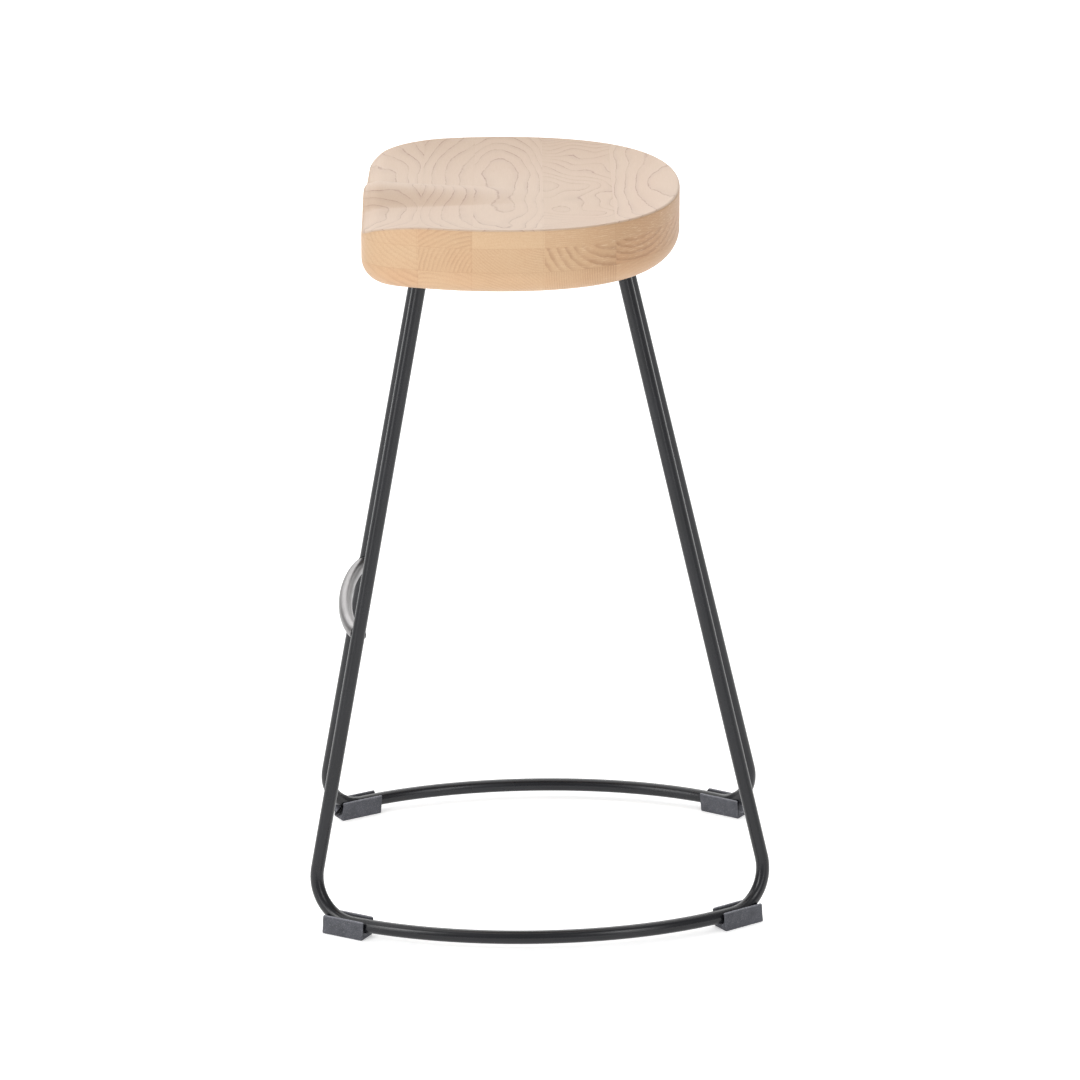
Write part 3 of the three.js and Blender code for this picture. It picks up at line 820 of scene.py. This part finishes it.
    # the wall's wood shows on steep faces, and on everything below the carved top
    wall = s.map(s.math("ABSOLUTE", nz), 0.35, 0.62, 1.0, 0.0, "SMOOTHSTEP")
    wall = s.math("MAXIMUM", wall, s.map(z, 40.0, 44.0, 1.0, 0.0))
    colour = s.mix(wall, top_colour, wall_colour)
    colour = s.mix(s.math("MULTIPLY", seams, s.map(wall, 0, 1, 0.05, 0.16)), colour, GLUE)

    grain_height = s.math("ADD", s.math("MULTIPLY", fibre, 0.6), s.math("MULTIPLY", speckle, 0.4))
    ring_depth = s.math("MULTIPLY", s.mix(wall, top_line, wall_line), 0.25)
    grain_height = s.math("SUBTRACT", grain_height, ring_depth)
    rough = s.map(speckle, 0.3, 0.7, 0.50, 0.58)
    return s.set(base=colour, rough=rough, specular=0.45, coat=0.15, coat_rough=0.45,
                 normal=s.bump(grain_height, 0.12, 0.0004))


def paint_material():
    s = Shader("satin_black_paint")
    p = s.millimetres()
    peel = s.noise(s.vector("MULTIPLY", p, (0.55, 0.55, 0.55)), 1.0, 2.0)
    grit = s.noise(s.vector("MULTIPLY", p, (2.2, 2.2, 2.2)), 1.0, 2.0)
    patch = s.noise(s.vector("MULTIPLY", p, (0.02, 0.02, 0.02)), 1.0, 3.0)
    base = s.mix(s.map(patch, 0.3, 0.7, 0.0, 1.0), rgba(14, 15, 19), rgba(21, 22, 27))
    base = s.mix(s.map(grit, 0.62, 0.75, 0.0, 0.25), base, rgba(48, 49, 51))
    rough = s.map(patch, 0.3, 0.7, 0.24, 0.29)
    height = s.math("ADD", peel, s.math("MULTIPLY", grit, 0.35))
    return s.set(base=base, rough=rough, specular=0.43, normal=s.bump(height, 0.10, 0.0003))


def chrome_material():
    s = Shader("bright_chrome")
    p = s.millimetres()
    haze = s.noise(s.vector("MULTIPLY", p, (0.03, 0.12, 0.12)), 1.0, 3.0)
    scratches = s.noise(s.vector("MULTIPLY", p, (0.08, 2.0, 2.0)), 1.0, 2.0)
    base = s.mix(s.map(haze, 0.35, 0.7, 0.0, 1.0), rgba(136, 134, 134), rgba(127, 125, 125))
    rough = s.math("ADD", s.map(haze, 0.3, 0.7, 0.36, 0.42),
                   s.map(scratches, 0.5, 0.8, 0.0, 0.05))
    return s.set(base=base, metal=1.0, rough=rough, normal=s.bump(scratches, 0.03, 0.0002))


def rubber_material():
    s = Shader("foot_rubber")
    p = s.millimetres()
    speckle = s.noise(s.vector("MULTIPLY", p, (0.9, 0.9, 0.9)), 1.0, 4.0, 0.65)
    patch = s.noise(s.vector("MULTIPLY", p, (0.10, 0.10, 0.10)), 1.0, 3.0)
    fine = s.noise(s.vector("MULTIPLY", p, (3.0, 3.0, 3.0)), 1.0, 2.0)
    normal = s.node("ShaderNodeNewGeometry", output=1)
    _x, _y, nz = s.split(normal)
    base = s.mix(s.map(patch, 0.3, 0.7, 0.0, 1.0), rgba(62, 63, 68), rgba(76, 77, 83))
    base = s.mix(s.map(speckle, 0.50, 0.68, 0.0, 0.6), base, rgba(118, 119, 126))
    scuff = s.noise(s.vector("MULTIPLY", p, (0.22, 0.22, 0.5)), 1.0, 5.0, 0.75)
    base = s.mix(s.map(scuff, 0.60, 0.68, 0.0, 0.5), base, rgba(140, 141, 147))
    # painted highlight and wear: faces turned upwards are lightened, broken up by the speckle;
    # partly rubbed wear, partly a painted highlight for the light from above
    wear_and_top_highlight = s.math("MULTIPLY", s.map(nz, 0.15, 0.7, 0.0, 0.9),
                  s.map(speckle, 0.4, 0.6, 0.35, 1.0))
    base = s.mix(wear_and_top_highlight, base, rgba(150, 151, 158))
    height = s.math("ADD", speckle, s.math("MULTIPLY", fine, 0.4))
    return s.set(base=base, rough=s.map(speckle, 0.3, 0.7, 0.62, 0.78), specular=0.4,
                 normal=s.bump(height, 0.35, 0.0005))


def plated_material(name, light, dark, rough_low, rough_high):
    s = Shader(name)
    p = s.millimetres()
    spangle = s.noise(s.vector("MULTIPLY", p, (0.35, 0.35, 0.35)), 1.0, 3.0)
    fine = s.noise(s.vector("MULTIPLY", p, (3.0, 3.0, 3.0)), 1.0, 2.0)
    base = s.mix(s.map(spangle, 0.35, 0.65, 0.0, 1.0), light, dark)
    return s.set(base=base, metal=1.0, rough=s.map(fine, 0.3, 0.7, rough_low, rough_high),
                 normal=s.bump(fine, 0.08, 0.0002))


FLOOR_EMISSION = 0.36


def floor_material():
    s = Shader("studio_floor")
    p = s.millimetres()
    mottle = s.noise(s.vector("MULTIPLY", p, (0.004, 0.004, 0.004)), 1.0, 3.0)
    base = s.mix(s.map(mottle, 0.3, 0.7, 0.0, 1.0), rgba(246, 246, 246), rgba(243, 243, 243))
    s.feed(s.bsdf.inputs["Emission Color"], (1.0, 1.0, 1.0, 1.0))
    s.feed(s.bsdf.inputs["Emission Strength"], FLOOR_EMISSION)
    return s.set(base=base, rough=0.9, specular=0.1)


WOOD = wood_material()
PAINT = paint_material()
CHROME = chrome_material()
RUBBER = rubber_material()
ZINC = plated_material("zinc_plated_steel", rgba(196, 198, 202), rgba(170, 173, 178), 0.25, 0.38)
BRASS = plated_material("plain_brass", rgba(206, 170, 96), rgba(178, 142, 74), 0.28, 0.42)

# ---------------------------------------------------------------- the pieces

SIDES = (("right", False), ("left", True))

# seat, with the four insert holes in its underside
points, faces = seat_mesh()
seat = make("seat_carved", points, faces, WOOD, ["seat"], sharp=60)
cutters = []
for name, sx, sy in screw_places():
    r = INSERT_RADIUS + GAP
    rings = turned([(r, CUTTER_START), (r, INSERT_HOLE_DEPTH)], sx, sy, 0.0, CUTTER_SIDES)
    cut_points, cut_faces = sweep([seat_frame(ring) for ring in rings])
    cutter = make(f"cutter_{name}", cut_points, cut_faces, WOOD)
    modifier = seat.modifiers.new(cutter.name, "BOOLEAN")
    modifier.object = cutter
    modifier.operation = "DIFFERENCE"
    modifier.solver = "EXACT"
    cutters.append(cutter)
bpy.context.view_layer.update()
cut = bpy.data.meshes.new_from_object(seat.evaluated_get(bpy.context.evaluated_depsgraph_get()))
seat.modifiers.clear()
seat.data = cut
for cutter in cutters:
    bpy.data.objects.remove(cutter)

# side frames, their welds and their feet
frame_rings = side_rings()
frame_path = side_path()
_, plane_normal = plate_plane()
rod_points, rod_faces = sweep(frame_rings)
for side, mirror in SIDES:
    make(f"side_frame_rod_{side}", rod_points, rod_faces, PAINT,
         [f"side_frame_{side}"], mirror)
    for seed, (place, ring) in enumerate((("front", frame_rings[0]), ("rear", frame_rings[-1]))):
        outward = ring - ring.mean(0)
        outward /= np.linalg.norm(outward, axis=1)[:, None]
        bead_points, bead_faces = bead(ring, outward, -plane_normal, LEG_WELD_RADIUS, 1.0 + seed)
        make(f"weld_{place}_{side}", bead_points, bead_faces, PAINT, (), mirror)
    for place in ("front", "rear"):
        foot_points, foot_faces = foot(place, frame_path)
        make(f"foot_block_{place}_{side}", foot_points, foot_faces, RUBBER,
             [f"foot_{place}_{side}"], mirror, sharp=50)

# footrest and its welds
bar_rings = footrest_rings()
bar_points, bar_faces = sweep(bar_rings)
make("footrest_bar", bar_points, bar_faces, CHROME, ["footrest"])
end_ring, next_ring = bar_rings[len(COPE_SHARES) - 1], bar_rings[len(COPE_SHARES)]
inward = unit(next_ring.mean(0) - end_ring.mean(0))
outward = end_ring - end_ring.mean(0)
outward -= np.multiply.outer(outward @ inward, inward)
outward /= np.linalg.norm(outward, axis=1)[:, None]
for side, mirror in SIDES:
    bead_points, bead_faces = bead(end_ring, outward, inward, FOOTREST_WELD_RADIUS, 3.0)
    make(f"weld_footrest_{side}", bead_points, bead_faces, PAINT, (), mirror)

# screws and washers
for name, sx, sy in screw_places():
    screw_points, screw_faces = sweep(screw_rings(sx, sy))
    make(f"button_screw_{name}", screw_points, screw_faces, ZINC, [f"screw_{name}"],
         sharp=35)
    rings = washer_rings(sx, sy)
    make(f"round_washer_{name}", np.concatenate(rings),
         rings_to_faces(len(rings), TURNED_SIDES, closed_along=True),
         ZINC, [f"washer_{name}"], sharp=35)

# CAD nodes that stay
for name, node in frame["nodes"].items():
    if name == "seat_plate" or name.startswith("insert"):
        material = PAINT if name == "seat_plate" else BRASS
        node.data.materials.clear()
        node.data.materials.append(material)
plate_bevel = frame["nodes"]["seat_plate"].modifiers.new("soft_edges", "BEVEL")
plate_bevel.width = PLATE_EDGE_BEVEL
plate_bevel.segments = 3
plate_bevel.limit_method = "ANGLE"

# ---------------------------------------------------------------- studio

FLOOR_HALF = 30.0  # metres, as is everything below
WORLD_STRENGTH = 0.48
SUN_ENERGY = 1.6
SUN_ANGLE = math.radians(75)
SUN_ROTATION = (math.radians(12), math.radians(-28), 0.0)

# name, where it stands, what it points at, its size, its power in watts
SOFTBOXES = [
    ("key_front", (2.0, -2.1, 1.75), (0.0, 0.0, 0.5), (1.2, 3.0), 32.0),
    ("key_front_core", (2.1, -2.2, 2.3), (0.0, 0.0, 0.3), (0.8, 0.8), 13.0),
    ("background", (-4.2, 0.0, 2.1), (0.0, 0.0, 0.9), (5.0, 1.8), 56.0),
    ("fill_rear", (2.6, 1.4, 1.75), (0.0, 0.0, 0.5), (0.5, 3.0), 14.0),
    ("fill_rear_core", (2.7, 1.45, 2.3), (0.0, 0.0, 0.3), (0.4, 0.8), 8.0),
]

# The camera stands to the stool's right, a little above the seat, with a long lens.
CAMERA_LENS = 150.0
CAMERA_SENSOR = 36.0
CAMERA_PLACE = (4.46297, -0.00504, 1.77804)
CAMERA_RIGHT = Vector((0.00686348, 0.99987339, -0.01435602))
CAMERA_UP = Vector((-0.30130755, 0.015757, 0.95339681))
CAMERA_FORWARD = Vector((-0.95350231, 0.00221804, -0.30137755))


def floor():
    mesh = bpy.data.meshes.new("studio_floor")
    half = FLOOR_HALF
    corners = [(-half, -half, 0), (half, -half, 0), (half, half, 0), (-half, half, 0)]
    mesh.from_pydata(corners, [], [(0, 1, 2, 3)])
    mesh.materials.append(floor_material())
    piece = bpy.data.objects.new("studio_floor", mesh)
    bpy.context.scene.collection.objects.link(piece)


def sun():
    light = bpy.data.lights.new("overhead_diffuser", "SUN")
    light.energy = SUN_ENERGY
    light.angle = SUN_ANGLE
    lamp = bpy.data.objects.new("overhead_diffuser", light)
    bpy.context.scene.collection.objects.link(lamp)
    lamp.rotation_euler = SUN_ROTATION


def softbox(name, location, target, size, power):
    light = bpy.data.lights.new(name, "AREA")
    light.shape = "RECTANGLE"
    light.size, light.size_y = size
    light.energy = power
    lamp = bpy.data.objects.new(name, light)
    bpy.context.scene.collection.objects.link(lamp)
    lamp.location = location
    lamp.rotation_mode = "QUATERNION"
    lamp.rotation_quaternion = (Vector(target) - Vector(location)).to_track_quat("-Z", "Y")
    lamp.visible_camera = False


def world():
    background = bpy.data.worlds.new("studio")
    background.use_nodes = True
    inputs = background.node_tree.nodes["Background"].inputs
    inputs["Color"].default_value = (1.0, 1.0, 1.0, 1.0)
    inputs["Strength"].default_value = WORLD_STRENGTH
    bpy.context.scene.world = background
    bpy.context.scene.view_settings.view_transform = "Standard"
    bpy.context.scene.view_settings.look = "None"


def camera():
    data = bpy.data.cameras.new("camera")
    data.lens = CAMERA_LENS
    data.sensor_width = CAMERA_SENSOR
    data.clip_end = 100.0
    piece = bpy.data.objects.new("camera", data)
    bpy.context.scene.collection.objects.link(piece)
    turn = Matrix((CAMERA_RIGHT, CAMERA_UP, -CAMERA_FORWARD)).transposed().to_4x4()
    piece.matrix_world = Matrix.Translation(CAMERA_PLACE) @ turn
    bpy.context.scene.camera = piece


floor()
sun()
for box in SOFTBOXES:
    softbox(*box)
world()
camera()
